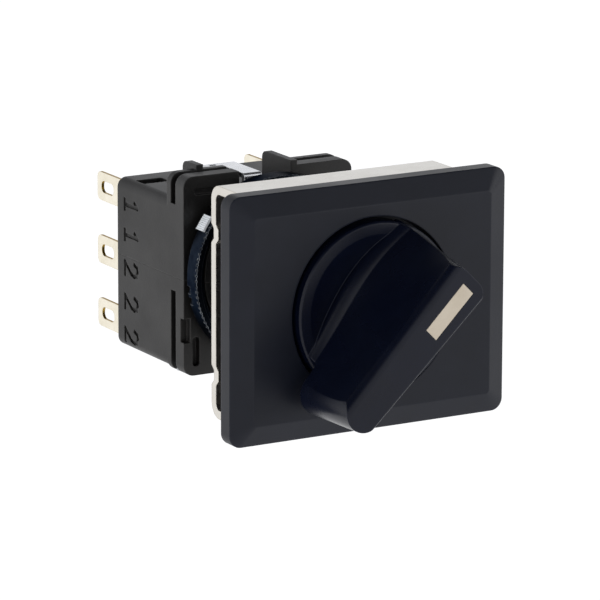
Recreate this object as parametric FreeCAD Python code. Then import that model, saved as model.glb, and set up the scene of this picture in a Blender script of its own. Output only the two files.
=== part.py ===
"""Rotary isolator switch, panel mounted, 50 x 40 mm bezel.

Frame: millimetres. The shaft axis is Y, the front of the switch faces -Y, +Z is up and +X is
to the right seen from the front. The origin is where the shaft axis meets the panel's front
face, which is also the rear face of the bezel.
"""
import FreeCAD, Part

import math
import os

from FreeCAD import Vector

# ---------------------------------------------------------------- general fits
FIT = 0.05
RUN = 0.06
SEAT_GAP = 0.1
BODY_GAP = 0.3
LAP = 0.5

# ---------------------------------------------------------------- bezel
BEZEL_W = 50.0
BEZEL_H = 40.0
BEZEL_EDGE_T = 2.8
BEZEL_BEVEL_W = 3.45
BEZEL_BEVEL_RISE = 1.6
BEZEL_CORNER_R = 2.0
BEZEL_FLAT_CORNER_R = 0.6
BEZEL_RIM_W = 1.1
GASKET_T = 0.8
RECESS_DEPTH = 2.6
BARREL_R = 11.5
BARREL_WALL = 2.3
BAYONET_DEPTH = 0.7
BEARING_END_Y = 3.0
KEYWAY_W = 2.0
KEYWAY_DEPTH = 0.8
SEAL_WIRE_R = 0.7
SEAL_Y = 0.6

# ---------------------------------------------------------------- knob
KNOB_ANGLE = 45.0
KNOB_DISC_R = 14.1
KNOB_GAP = 0.65
KNOB_DISC_T = 3.5
KNOB_RIM_CHAMFER = 0.25
KNOB_RIM_RISE = 1.2
KNOB_RIM_W = 2.0
KNOB_DISH_DEPTH = 1.8
KNOB_HEIGHT = 17.0
KNOB_STATIONS = (-19.8, -14.5, -8.0, 0.0, 7.0, 14.2)
KNOB_TOP_HALF_WS = (3.1, 3.25, 3.45, 3.7, 3.9, 4.1)
KNOB_FLANK_HALF_WS = (3.4, 3.75, 4.5, 5.8, 6.1, 5.0)
KNOB_FOOT_HALF_WS = (3.7, 4.5, 5.8, 7.3, 7.6, 6.4)
KNOB_HOLLOW = 0.2
KNOB_HOLLOW_DROP = 1.5
KNOB_FOOT_RISE = 1.3
KNOB_FOOT_BULGE_W = 0.72
KNOB_FOOT_BULGE_H = 0.3
KNOB_TAIL_R = 19.5
KNOB_TAIL_END_R = 3.2
KNOB_TAIL_DRAFT = 0.45
KNOB_TAIL_GAP = 3.1
KNOB_POINTER_R = 10.85
KNOB_POINTER_FOOT_R = 13.3
KNOB_POINTER_CORNER_R = 2.6
KNOB_POINTER_FOOT_CORNER_R = 4.0
KNOB_EDGE_ROUND = 1.5
KNOB_EDGE_BREAK = 0.4
MARKER_START = -0.35
MARKER_L = 9.35
MARKER_W = 2.5
MARKER_T = 0.6
MARKER_OFFSET = 0.6
KNOB_SOCKET_DEPTH = 12.0
KNOB_SOCKET_SPACE = 1.0
KNOB_COUNTERBORE = 1.0

# ---------------------------------------------------------------- spindle and index
SPINDLE_R = 4.0
SPINDLE_SQUARE = 5.6
TONGUE_W = 7.0
TONGUE_T = 2.4
TONGUE_L = 3.0
SPINDLE_BACK = 1.2
WASHER_T = 0.5
WASHER_RIM = 2.6
CLIP_T = 0.7
CLIP_RIM = 1.6
CLIP_GROOVE_DEPTH = 0.6
CLIP_MOUTH = 4.8
INDEX_SHARE = 5 / 13
INDEX_Y = 9.0
INDEX_T = 5.0
INDEX_STEPS = 8
NOTCH_OUT = 0.3
STOP_LUG_GAP = 0.6
STOP_LUG_HALF_DEG = 10.0
STOP_LUG_ROOT = 1.5
STOP_RIB_W = 1.6
STOP_T = 2.5
KNOB_TRAVEL = 90.0
STOP_SLACK_DEG = 1.5
LEAF_T = 0.35
LEAF_ROLL_GAP = 0.15
LEAF_INSET = 0.5

# ---------------------------------------------------------------- bracket and nut
BRACKET_HALF_W = 19.7
BRACKET_HALF_H = 18.9
BRACKET_T = 1.4
BRACKET_FRONT_Y = 2.4
BRACKET_WEB_Y = 11.2
BRACKET_BEND_R = 2.5
BRACKET_JOG = 0.8
BRACKET_JOG_HI_Z = 11.0
BRACKET_JOG_LO_Z = -12.0
BRACKET_JOG_HALF = 1.6
NUT_RIM = 2.9
NUT_T = 4.0
NUT_FLUTES = 12
NUT_FLUTE_R = 1.1
NUT_COLLAR = 0.8

# ---------------------------------------------------------------- locking ring and lever
RING_T = 3.4
RING_LAND = 0.9
RING_RIM = 2.3
RING_WALL = 0.9
RING_FLANGE_T = 1.3
RING_TRAVEL = 20.0
TOOTH_GAP = 0.3
TOOTH_HALF_DEG = 14.0
RING_SERRATIONS = 110
SERRATION_R = 0.18
SERRATION_L = 0.5
RING_EDGE = 0.25
RING_NOTCH_DEGS = (187.0, 194.0)
RING_NOTCH_R = 0.7
RING_NOTCH_OUT = 0.2
RING_NOTCH_L = 1.1
THUMB_PAD_DEG = 145.8
THUMB_PAD_HALF_DEG = 4.8
THUMB_PAD_H = 0.5
THUMB_PAD_RIBS = 8
THUMB_RIB_R = 0.12
THUMB_PAD_INSET = 0.9
LEVER_T = 0.8
LEVER_RISE = 0.2
LEVER_LEG_GAP = 0.4
LEVER_X0 = -5.1
LEVER_X1 = -1.9
LEVER_REACH = 8.0
LEVER_HOOK_X = -7.7
LEVER_HOOK_W = 1.9
LEVER_WINDOW_X = 1.3
LEVER_WINDOW_Y = 0.8

# ---------------------------------------------------------------- contact block
BLOCK_HALF_W = 15.65
BLOCK_FRONT_Y = 29.2
PLATE_T = 2.7
SLOT_W = 1.6
RIM_T = 1.3
BLOCK_DEPTH = 22.7
BLOCK_TOP_Z = 12.0
BLOCK_BOTTOM_Z = -16.4
PLATE_TOP_Z = 16.2
PLATE_BOTTOM_Z = -16.8
PARTING_Z = -0.8
TOP_SLOT_Z = 11.3
LOW_SLOT_Z = -3.1
LOW_SLOT_DEPTH = 1.0
OPENING_X0 = -5.4
OPENING_X1 = 4.2
GUARD_T = 1.2
GUARD_TOP_Z = 17.0
GUARD_REACH = 9.5
LEFT_GUARD_X = -10.9
LEFT_GUARD_START = 4.3
LEFT_GUARD_SHORT = 0.5
GUARD_CORNER_R = 1.2
PLATE_CORNER_R = 1.8
BLOCK_CORNER_R = 1.6
HUB_WALL = 1.8
HUB_L = 3.0
BLOCK_WALL = 1.3
BACK_WALL = 1.5
CHAMBER_ROOF_RELIEF = 0.2
CHAMBER_START = 7.0
TOP_PORT_START = 16.0
TOP_PORT_L = 3.0
TOP_PORT_X0 = -14.2
TOP_PORT_X1 = -9.5
UPPER_SLOT_X = -11.0
UPPER_SLOT_Z = 13.6
UPPER_SLOT_HALF_W = 2.6
UPPER_SLOT_HALF_H = 0.5
UPPER_SLOT_DEPTH = 0.6
FOOT_SLOT_X = -13.4
FOOT_SLOT_Z = -12.8
FOOT_SLOT_HALF_W = 0.65
FOOT_SLOT_HALF_H = 2.45
FOOT_SLOT_DEPTH = 1.2
SLOT_END_FLAT = 0.05
EDGE_NOTCH_W = 1.2
EDGE_NOTCH_DEPTH = 1.1
EDGE_NOTCH_Z0 = -11.2
EDGE_NOTCH_Z1 = -7.2
SHAFT_CUP_R = 5.5
SHAFT_R = 4.0
SHAFT_SQUARE = 5.0

# ---------------------------------------------------------------- contacts
TAB_X = 14.0
TAB_W = 4.8
TAB_T = 0.5
TAB_L = 9.8
TAB_ROWS = (8.8, -2.0, -12.8)
TAB_ROW_NAMES = ("upper", "middle", "lower")
TAB_HOLE_L = 4.3
TAB_HOLE_H = 2.0
TAB_HOLE_FROM_END = 3.6
TAB_CORNER_R = 1.0
ROOT_W = 4.0
STRIP_DEPTH = 7.0
STRIP_T = 0.6
STRIP_W = 3.2
RISER_W = 2.6
THROW_R = 8.49
COMMON_R = 5.0
BUTTON_R = 1.1
THROW_BUTTON_H = 0.6
BRIDGE_BUTTON_H = 0.5
BRIDGE_T = 0.5
BRIDGE_IN_R = 3.9
BRIDGE_OUT_R = 6.1
BRIDGE_HALF_DEG = 50.0
BRIDGE_FINGER_W = 2.8
CARRIER_R = 10.6
CARRIER_GAP = 0.6
CARRIER_T = 4.2
CARRIER_BOSS_R = 3.6
CARRIER_BOSS_H = 1.0
SHAFT_SQUARE_EXTRA = 1.2
POST_R = 0.8
POST_DEG = 34.0
SPRING_R = 1.4
SPRING_WIRE_R = 0.22
SPRING_TURNS = 4
SPRING_AT_R = 8.0
POCKET_DEPTH = 2.2
BASE_T = 2.2
SCREW_R = 1.0
SCREW_HEAD_R = 1.9
SCREW_X = 12.9
SCREW_BACK = 3.3
SCREW_L = 21.5
SCREW_HEAD_T = 1.4
SCREW_SINK = 0.2
SCREW_SLOT_L = 2.2
SCREW_SLOT_W = 0.5
SCREW_SLOT_DEPTH = 0.6
NUMERAL_DEPTH = 0.35
NUMERAL_STROKE = 0.66
NUMERAL_H = 4.4
NUMERAL_W = 2.3
NUMERAL_FROM_BACK = 4.7
NUMERALS = ((1, 8.1), (1, 3.0), (2, -2.7), (2, -8.4), (2, -14.0))

# ---------------------------------------------------------------- sizes that follow
BLOCK_BACK_Y = BLOCK_FRONT_Y + BLOCK_DEPTH
HUB_Y = BLOCK_FRONT_Y - HUB_L
CHAMBER_FRONT_Y = BLOCK_FRONT_Y + CHAMBER_START
TOP_PORT_Y = BLOCK_FRONT_Y + TOP_PORT_START
GUARD_END_Y = BLOCK_FRONT_Y + GUARD_REACH
LEFT_GUARD_Y0 = BLOCK_FRONT_Y + LEFT_GUARD_START
LEVER_END_Y = BLOCK_FRONT_Y + LEVER_REACH
LEVER_HOOK_Y = LEVER_END_Y - LEVER_HOOK_W
TAB_END_Y = BLOCK_BACK_Y + TAB_L
TAB_HOLE_Y = TAB_END_Y - TAB_HOLE_FROM_END
STRIP_Y = BLOCK_BACK_Y - STRIP_DEPTH
BRIDGE_Y = STRIP_Y - THROW_BUTTON_H - BRIDGE_BUTTON_H - BRIDGE_T
CARRIER_Y = CHAMBER_FRONT_Y + CARRIER_GAP
NUMERAL_Y = BLOCK_BACK_Y - NUMERAL_FROM_BACK
BARREL_LEN = BLOCK_FRONT_Y - BODY_GAP
RING_Y = BARREL_LEN - RING_LAND - RING_T
BARREL_BORE_R = BARREL_R - BARREL_WALL
BAYONET_GROOVE_R = BARREL_R - BAYONET_DEPTH
HUB_R = BARREL_R + SEAT_GAP + HUB_WALL
RING_FLANGE_R = HUB_R + SEAT_GAP
RING_R = RING_FLANGE_R + RING_RIM
RING_BORE_R = RING_R - RING_WALL
RING_FLANGE_Y = RING_Y + RING_T - RING_FLANGE_T
TOOTH_R = BAYONET_GROOVE_R + TOOTH_GAP
NUT_R = BARREL_R + NUT_RIM
LEVER_TOP_Z = RING_R + LEVER_RISE
RECESS_R = KNOB_DISC_R + KNOB_GAP
WASHER_R = SPINDLE_R + WASHER_RIM
CLIP_R = SPINDLE_R + CLIP_RIM
CLIP_GROOVE_R = SPINDLE_R - CLIP_GROOVE_DEPTH
INDEX_R = SPINDLE_R + (BARREL_BORE_R - SPINDLE_R) * INDEX_SHARE
NOTCH_R = (INDEX_R - SPINDLE_R) / 2
LEAF_ROLL_R = NOTCH_R - LEAF_ROLL_GAP
STOP_LUG_R = BARREL_BORE_R - STOP_LUG_GAP
FLAT_Y = -(BEZEL_EDGE_T + BEZEL_BEVEL_RISE)
RECESS_FLOOR_Y = FLAT_Y + RECESS_DEPTH
TOP_Y = FLAT_Y - KNOB_HEIGHT
PLATE_BACK_Y = BLOCK_FRONT_Y + PLATE_T
RIM_Y = PLATE_BACK_Y + SLOT_W
RIM_BACK_Y = RIM_Y + RIM_T
SCREW_AT_Y = CHAMBER_FRONT_Y - SCREW_BACK
Y_DIR = Vector(0, 1, 0)


# ================================================================ helpers
def box(x0, x1, y0, y1, z0, z1):
    """Axis-aligned box between two corners."""
    return Part.makeBox(x1 - x0, y1 - y0, z1 - z0, Vector(x0, y0, z0))


def cyl(r, y0, y1, x=0.0, z=0.0):
    """Cylinder along Y."""
    return Part.makeCylinder(r, y1 - y0, Vector(x, y0, z), Y_DIR)


def tube(r_out, r_in, y0, y1, x=0.0, z=0.0):
    """Ring along Y."""
    return cyl(r_out, y0, y1, x, z).cut(cyl(r_in, y0 - 1, y1 + 1, x, z))


def rounded_wire(half_w, half_h, r, y, cx=0.0, cz=0.0):
    """Rounded rectangle in an XZ plane."""
    pts = []
    for sx, sz in ((1, 1), (-1, 1), (-1, -1), (1, -1)):
        pts.append((cx + sx * half_w, cz + sz * half_h, sx, sz))
    edges = []
    ends = []
    for i, (x, z, sx, sz) in enumerate(pts):
        first = Vector(x, y, z - sz * r) if i % 2 == 0 else Vector(x - sx * r, y, z)
        last = Vector(x - sx * r, y, z) if i % 2 == 0 else Vector(x, y, z - sz * r)
        s = r * (1 - math.sqrt(0.5))
        mid = Vector(x - sx * s, y, z - sz * s)
        ends.append((first, mid, last))
    for i, (first, mid, last) in enumerate(ends):
        edges.append(Part.Arc(first, mid, last).toShape())
        edges.append(Part.LineSegment(last, ends[(i + 1) % 4][0]).toShape())
    return Part.Wire(edges)


def rounded_prism(half_w, half_h, r, y0, y1, cx=0.0, cz=0.0):
    """Rounded rectangular bar along Y."""
    face = Part.Face(rounded_wire(half_w, half_h, r, y0, cx, cz))
    return face.extrude(Vector(0, y1 - y0, 0))


def polygon_prism(points, direction):
    """Closed polygon of 3-D points extruded along a vector."""
    face = Part.Face(Part.makePolygon([Vector(*p) for p in points] + [Vector(*points[0])]))
    return face.extrude(Vector(*direction))


def polar(r, deg):
    """X and Z of a point at a radius and an angle from +X towards +Z."""
    a = math.radians(deg)
    return r * math.cos(a), r * math.sin(a)


def sector(r_in, r_out, deg0, deg1, y0, y1):
    """Ring sector along Y between two angles from +X towards +Z."""
    mid = (deg0 + deg1) / 2
    pts = [polar(r_in, deg0), polar(r_out, deg0), polar(r_out, mid)]
    pts += [polar(r_out, deg1), polar(r_in, deg1), polar(r_in, mid)]
    v = [Vector(x, y0, z) for x, z in pts]
    edges = [
        Part.LineSegment(v[0], v[1]).toShape(),
        Part.Arc(v[1], v[2], v[3]).toShape(),
        Part.LineSegment(v[3], v[4]).toShape(),
        Part.Arc(v[4], v[5], v[0]).toShape(),
    ]
    return Part.Face(Part.Wire(edges)).extrude(Vector(0, y1 - y0, 0))


def turned(shape, deg):
    """Shape turned about the shaft axis, clockwise seen from the front."""
    out = shape.copy()
    out.rotate(Vector(0, 0, 0), Y_DIR, deg)
    return out


def mirrored(shape):
    """Shape mirrored left to right."""
    return shape.mirror(Vector(0, 0, 0), Vector(1, 0, 0))


def fillet_where(shape, r, test):
    """Fillet the edges that pass a test."""
    edges = [e for e in shape.Edges if test(e)]
    return shape.makeFillet(r, edges)


def along(e, axis):
    """True for a straight edge parallel to an axis."""
    if len(e.Vertexes) != 2:
        return False
    d = e.Vertexes[1].Point - e.Vertexes[0].Point
    return d.Length > 1e-6 and abs(abs(d.dot(axis)) - d.Length) < 1e-6 * d.Length


def square_bar(side, y0, y1):
    """Square bar along Y on the shaft axis."""
    return box(-side / 2, side / 2, y0, y1, -side / 2, side / 2)


def export(name, shape):
    """Write one node."""
    shape = shape.removeSplitter() if shape.ShapeType == "Solid" else shape
    solids = shape.Solids
    out = solids[0] if len(solids) == 1 else Part.makeCompound(solids)
    if not out.isValid():
        raise ValueError(name + " is not a valid shape")
    out.exportStep(os.path.join("parts", name + ".step"))
    print(name, len(solids), round(out.Volume, 2))


# ================================================================ bezel and panel side
def make_front_bezel():
    half_w, half_h = BEZEL_W / 2, BEZEL_H / 2
    edge = rounded_prism(half_w, half_h, BEZEL_CORNER_R, -BEZEL_EDGE_T, 0)
    base = rounded_wire(half_w, half_h, BEZEL_CORNER_R, -BEZEL_EDGE_T)
    flat_w, flat_h = half_w - BEZEL_BEVEL_W, half_h - BEZEL_BEVEL_W
    flat = rounded_wire(flat_w, flat_h, BEZEL_FLAT_CORNER_R, FLAT_Y)
    bevel = Part.makeLoft([base, flat], True, True)
    body = edge.fuse(bevel)
    rim_w, rim_h = half_w - BEZEL_RIM_W, half_h - BEZEL_RIM_W
    body = body.cut(rounded_prism(rim_w, rim_h, BEZEL_CORNER_R / 2, -GASKET_T, 1))
    body = body.cut(cyl(RECESS_R, FLAT_Y - 1, RECESS_FLOOR_Y))
    body = body.fuse(cyl(BARREL_R, -GASKET_T, BARREL_LEN))
    body = body.cut(cyl(BARREL_BORE_R, BEARING_END_Y, BARREL_LEN + 1))
    body = body.cut(cyl(SPINDLE_R + RUN, FLAT_Y - 1, BARREL_LEN))
    seal_r = SPINDLE_R + RUN + 2 * SEAL_WIRE_R
    body = body.cut(cyl(seal_r, SEAL_Y - SEAL_WIRE_R - FIT, SEAL_Y + SEAL_WIRE_R + FIT))
    key_z = BARREL_R - KEYWAY_DEPTH
    body = body.cut(box(-KEYWAY_W / 2, KEYWAY_W / 2, 0, BRACKET_WEB_Y + NUT_T, key_z, BARREL_R + 1))
    groove_y0 = RING_FLANGE_Y - SEAT_GAP
    groove_y1 = RING_Y + RING_T + SEAT_GAP
    body = body.cut(tube(BARREL_R + 1, BAYONET_GROOVE_R, groove_y0, groove_y1))
    return body.fuse(make_travel_stop()).removeSplitter()


def make_travel_stop():
    """Rib in the barrel that the index wheel's lug meets at both ends of its travel."""
    y0 = INDEX_Y + INDEX_T + SEAT_GAP
    start = 90 + STOP_LUG_HALF_DEG + KNOB_TRAVEL + STOP_SLACK_DEG
    end = 90 - STOP_LUG_HALF_DEG - STOP_SLACK_DEG + 360
    return sector(STOP_LUG_R - STOP_RIB_W, BARREL_R - BARREL_WALL / 2, start, end, y0, y0 + STOP_T)


def make_panel_gasket():
    rim_w = BEZEL_W / 2 - BEZEL_RIM_W - SEAT_GAP
    rim_h = BEZEL_H / 2 - BEZEL_RIM_W - SEAT_GAP
    sheet = rounded_prism(rim_w, rim_h, BEZEL_CORNER_R / 2, -GASKET_T, 0)
    return sheet.cut(cyl(BARREL_R + SEAT_GAP, -GASKET_T - 1, 1))


def make_shaft_seal():
    centre = SPINDLE_R + RUN + SEAL_WIRE_R
    return Part.makeTorus(centre, SEAL_WIRE_R - FIT, Vector(0, SEAL_Y, 0), Y_DIR)


def bracket_side(offset, sign):
    """Side view of the bracket's rear or inner surface, as Y and Z points."""
    y = BRACKET_WEB_Y + BRACKET_T - offset
    jog = BRACKET_JOG
    hi, lo, w = BRACKET_JOG_HI_Z, BRACKET_JOG_LO_Z, BRACKET_JOG_HALF
    pts = [(y, hi + w), (y - jog, hi + w / 2), (y - jog, hi - w / 2), (y, hi - w)]
    pts += [(y, lo + w), (y - jog, lo + w / 2), (y - jog, lo - w / 2), (y, lo - w)]
    return pts if sign > 0 else pts[::-1]


def make_mounting_bracket():
    h, t, r = BRACKET_HALF_H, BRACKET_T, BRACKET_BEND_R
    back = BRACKET_WEB_Y + t
    s = math.sqrt(0.5)
    x = -BRACKET_HALF_W

    def v(y, z):
        return Vector(x, y, z)

    def arc(cy, cz, rad, a, b, c):
        p = [v(cy + rad * q[0], cz + rad * q[1]) for q in (a, b, c)]
        return Part.Arc(*p).toShape()

    outer = [v(y, z) for y, z in bracket_side(0, 1)]
    inner = [v(y, z) for y, z in bracket_side(t, -1)]
    edges = [Part.LineSegment(v(BRACKET_FRONT_Y, h), v(back - r, h)).toShape()]
    edges.append(arc(back - r, h - r, r, (0, 1), (s, s), (1, 0)))
    path = [v(back, h - r)] + outer + [v(back, -h + r)]
    edges += [Part.LineSegment(a, b).toShape() for a, b in zip(path, path[1:])]
    edges.append(arc(back - r, -h + r, r, (1, 0), (s, -s), (0, -1)))
    front = [v(back - r, -h), v(BRACKET_FRONT_Y, -h), v(BRACKET_FRONT_Y, -h + t), v(back - r, -h + t)]
    edges += [Part.LineSegment(a, b).toShape() for a, b in zip(front, front[1:])]
    edges.append(arc(back - r, -h + r, r - t, (0, -1), (s, -s), (1, 0)))
    path = [v(back - t, -h + r)] + inner + [v(back - t, h - r)]
    edges += [Part.LineSegment(a, b).toShape() for a, b in zip(path, path[1:])]
    edges.append(arc(back - r, h - r, r - t, (1, 0), (s, s), (0, 1)))
    last = [v(back - r, h - t), v(BRACKET_FRONT_Y, h - t), v(BRACKET_FRONT_Y, h)]
    edges += [Part.LineSegment(a, b).toShape() for a, b in zip(last, last[1:])]
    body = Part.Face(Part.Wire(edges)).extrude(Vector(2 * BRACKET_HALF_W, 0, 0))
    hole_r = BARREL_R + 2 * SEAT_GAP
    body = body.cut(cyl(hole_r, BRACKET_WEB_Y - 2, back + 1))
    half = KEYWAY_W / 2 - SEAT_GAP
    z0 = BARREL_R - KEYWAY_DEPTH + SEAT_GAP
    tongue = box(-half, half, BRACKET_WEB_Y, back, z0, hole_r + 1)
    return body.fuse(tongue).removeSplitter()


def make_bracket_nut():
    y0 = BRACKET_WEB_Y + BRACKET_T
    nut = tube(NUT_R, BARREL_R + FIT, y0, y0 + NUT_T)
    for i in range(NUT_FLUTES):
        x, z = polar(NUT_R, i * 360 / NUT_FLUTES + 15)
        nut = nut.cut(cyl(NUT_FLUTE_R, y0 + NUT_COLLAR, y0 + NUT_T + 1, x, z))
    return nut


# ================================================================ knob and shafts
def grip_section(half_top, half_flank, half_foot, x):
    """Cross-section of the grip at a station: hollow flanks over a rounded foot."""
    floor_y = FLAT_Y - KNOB_RIM_RISE + KNOB_DISH_DEPTH
    foot_y = FLAT_Y - KNOB_RIM_RISE - KNOB_FOOT_RISE
    mid_y = (TOP_Y + foot_y) / 2 + KNOB_HOLLOW_DROP
    mid_w = half_top + (half_flank - half_top) * KNOB_HOLLOW
    bulge_w = half_flank + (half_foot - half_flank) * KNOB_FOOT_BULGE_W
    bulge_y = foot_y + (floor_y - foot_y) * KNOB_FOOT_BULGE_H
    side_y = TOP_Y + KNOB_EDGE_ROUND
    s = KNOB_EDGE_ROUND * (1 - math.sqrt(0.5))
    b = KNOB_EDGE_BREAK
    t = b * (1 - math.sqrt(0.5))

    def v(z, y):
        return Vector(x, y, z)

    edges = [
        Part.Arc(v(half_foot, floor_y), v(bulge_w, bulge_y), v(half_flank, foot_y)).toShape(),
        Part.Arc(v(half_flank, foot_y), v(mid_w, mid_y), v(half_top, side_y)).toShape(),
        Part.Arc(
            v(half_top, side_y), v(half_top - s, TOP_Y + s), v(half_top - KNOB_EDGE_ROUND, TOP_Y)
        ).toShape(),
        Part.LineSegment(v(half_top - KNOB_EDGE_ROUND, TOP_Y), v(-half_top + b, TOP_Y)).toShape(),
        Part.Arc(v(-half_top + b, TOP_Y), v(-half_top + t, TOP_Y + t), v(-half_top, TOP_Y + b)).toShape(),
        Part.Arc(v(-half_top, TOP_Y + b), v(-mid_w, mid_y), v(-half_flank, foot_y)).toShape(),
        Part.Arc(v(-half_flank, foot_y), v(-bulge_w, bulge_y), v(-half_foot, floor_y)).toShape(),
        Part.LineSegment(v(-half_foot, floor_y), v(half_foot, floor_y)).toShape(),
    ]
    return Part.Wire(edges)


def make_grip():
    """Grip of the knob: hollow-flanked bar, round at the tail and blunt at the pointer."""
    wires = []
    for x, top, flank, foot in zip(KNOB_STATIONS, KNOB_TOP_HALF_WS, KNOB_FLANK_HALF_WS, KNOB_FOOT_HALF_WS):
        wires.append(grip_section(top, flank, foot, x))
    bar = Part.makeLoft(wires, True, False)
    floor_y = FLAT_Y - KNOB_RIM_RISE + KNOB_DISH_DEPTH
    ends = [pointer_outline(TOP_Y, KNOB_POINTER_R, KNOB_TOP_HALF_WS[-1] + FIT, KNOB_POINTER_CORNER_R)]
    wide = max(KNOB_FOOT_HALF_WS) + 1
    ends.append(pointer_outline(floor_y, KNOB_POINTER_FOOT_R, wide, KNOB_POINTER_FOOT_CORNER_R))
    bar = bar.common(Part.makeLoft(ends, True, True))
    centre = -KNOB_TAIL_R + KNOB_TAIL_END_R
    r_foot = KNOB_TAIL_END_R + KNOB_TAIL_DRAFT
    tail = Part.makeCone(KNOB_TAIL_END_R, r_foot, floor_y - TOP_Y, Vector(centre, TOP_Y, 0), Y_DIR)
    far = 2 * KNOB_TAIL_R
    bar = bar.common(tail.fuse(box(centre, far, TOP_Y - 1, floor_y + 1, -far, far)))
    under = box(-far, 0, FLAT_Y - KNOB_TAIL_GAP, floor_y + 1, -far, far)
    return bar.cut(under.cut(cyl(KNOB_DISC_R - KNOB_RIM_CHAMFER, TOP_Y, floor_y + 2)))


def pointer_outline(y, x_end, half_w, r):
    """Long outline in an XZ plane with two round corners at the pointer end."""
    x0 = -2 * KNOB_TAIL_R
    s = r * (1 - math.sqrt(0.5))
    p = [(x0, half_w), (x_end - r, half_w), (x_end - s, half_w - s), (x_end, half_w - r)]
    p += [(x_end, -half_w + r), (x_end - s, -half_w + s), (x_end - r, -half_w), (x0, -half_w)]
    v = [Vector(x, y, z) for x, z in p]
    edges = [
        Part.LineSegment(v[0], v[1]).toShape(),
        Part.Arc(v[1], v[2], v[3]).toShape(),
        Part.LineSegment(v[3], v[4]).toShape(),
        Part.Arc(v[4], v[5], v[6]).toShape(),
        Part.LineSegment(v[6], v[7]).toShape(),
        Part.LineSegment(v[7], v[0]).toShape(),
    ]
    return Part.Wire(edges)


def make_knob():
    """Knob with its grip along X, pointer to +X, before it is turned to its rest angle."""
    rim_y = FLAT_Y - KNOB_RIM_RISE
    hub_y = rim_y + KNOB_DISC_T
    c = KNOB_RIM_CHAMFER
    disc = cyl(KNOB_DISC_R, rim_y + c, hub_y)
    disc = disc.fuse(Part.makeCone(KNOB_DISC_R - c, KNOB_DISC_R, c, Vector(0, rim_y, 0), Y_DIR))
    dish_r = KNOB_DISC_R - KNOB_RIM_W
    ball_r = (dish_r ** 2 + KNOB_DISH_DEPTH ** 2) / (2 * KNOB_DISH_DEPTH)
    disc = disc.cut(Part.makeSphere(ball_r, Vector(0, rim_y + KNOB_DISH_DEPTH - ball_r, 0)))
    body = disc.fuse(make_grip())
    socket = SPINDLE_SQUARE + 2 * FIT
    body = body.cut(square_bar(socket, hub_y - KNOB_SOCKET_DEPTH, hub_y + 1))
    body = body.cut(cyl(SPINDLE_R + FIT, hub_y - KNOB_COUNTERBORE, hub_y + 1))
    z0 = -MARKER_OFFSET - MARKER_W / 2 - FIT
    z1 = z0 + MARKER_W + 2 * FIT
    x0 = MARKER_START - FIT
    body = body.cut(box(x0, x0 + MARKER_L + 2 * FIT, TOP_Y - 1, TOP_Y + MARKER_T, z0, z1))
    return body.removeSplitter()


def make_marker_inlay():
    z0 = -MARKER_OFFSET - MARKER_W / 2
    return box(MARKER_START, MARKER_START + MARKER_L, TOP_Y, TOP_Y + MARKER_T, z0, z0 + MARKER_W)


def make_spindle():
    hub_y = FLAT_Y - KNOB_RIM_RISE + KNOB_DISC_T
    body = cyl(SPINDLE_R, hub_y - KNOB_COUNTERBORE + FIT, BARREL_LEN - SPINDLE_BACK)
    body = body.fuse(square_bar(SPINDLE_SQUARE, hub_y - KNOB_SOCKET_DEPTH + KNOB_SOCKET_SPACE, hub_y))
    y0 = clip_y()
    body = body.cut(tube(SPINDLE_R + 1, CLIP_GROOVE_R, y0 - FIT, y0 + CLIP_T + FIT))
    y1 = BARREL_LEN - SPINDLE_BACK
    tongue = box(-TONGUE_W / 2, TONGUE_W / 2, y1 - LAP, y1 + TONGUE_L, -TONGUE_T / 2, TONGUE_T / 2)
    return body.fuse(tongue).removeSplitter()


def clip_y():
    """Front face of the retaining clip, behind the bearing wall and the thrust washer."""
    return BEARING_END_Y + SEAT_GAP + WASHER_T


def make_thrust_washer():
    y0 = BEARING_END_Y + SEAT_GAP
    return tube(WASHER_R, SPINDLE_R + FIT, y0, y0 + WASHER_T)


def make_retaining_clip():
    y0 = clip_y()
    ring = tube(CLIP_R, CLIP_GROOVE_R + FIT, y0, y0 + CLIP_T)
    return ring.cut(box(-CLIP_MOUTH / 2, CLIP_MOUTH / 2, y0 - 1, y0 + CLIP_T + 1, -CLIP_R - 1, 0))


def make_index_wheel():
    body = cyl(INDEX_R, INDEX_Y, INDEX_Y + INDEX_T)
    for i in range(INDEX_STEPS):
        x, z = polar(INDEX_R + NOTCH_OUT, i * 360 / INDEX_STEPS)
        body = body.cut(cyl(NOTCH_R, INDEX_Y - 1, INDEX_Y + INDEX_T + 1, x, z))
    y0 = INDEX_Y + INDEX_T
    body = body.fuse(cyl(INDEX_R - NOTCH_R, y0, y0 + STOP_T))
    a = 90
    lug = sector(
        INDEX_R - STOP_LUG_ROOT, STOP_LUG_R, a - STOP_LUG_HALF_DEG, a + STOP_LUG_HALF_DEG,
        y0 + SEAT_GAP, y0 + STOP_T,
    )
    body = body.fuse(lug)
    return body.cut(cyl(SPINDLE_R + FIT / 2, INDEX_Y - 1, y0 + STOP_T + 1)).removeSplitter()


def make_detent_springs():
    """Two formed leaf springs whose rolls sit in opposite notches."""
    at = INDEX_R + NOTCH_OUT
    y0, y1 = INDEX_Y + LEAF_INSET, INDEX_Y + INDEX_T - LEAF_INSET
    top = at + LEAF_ROLL_R
    z0 = top - SEAT_GAP
    half = math.sqrt((BARREL_BORE_R - FIT) ** 2 - (z0 + LEAF_T) ** 2)
    leaf = box(-half, half, y0, y1, z0, z0 + LEAF_T)
    leaf = leaf.fuse(cyl(LEAF_ROLL_R, y0, y1, 0, at)).removeSplitter()
    return Part.makeCompound([leaf, turned(leaf, 180)])


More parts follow.
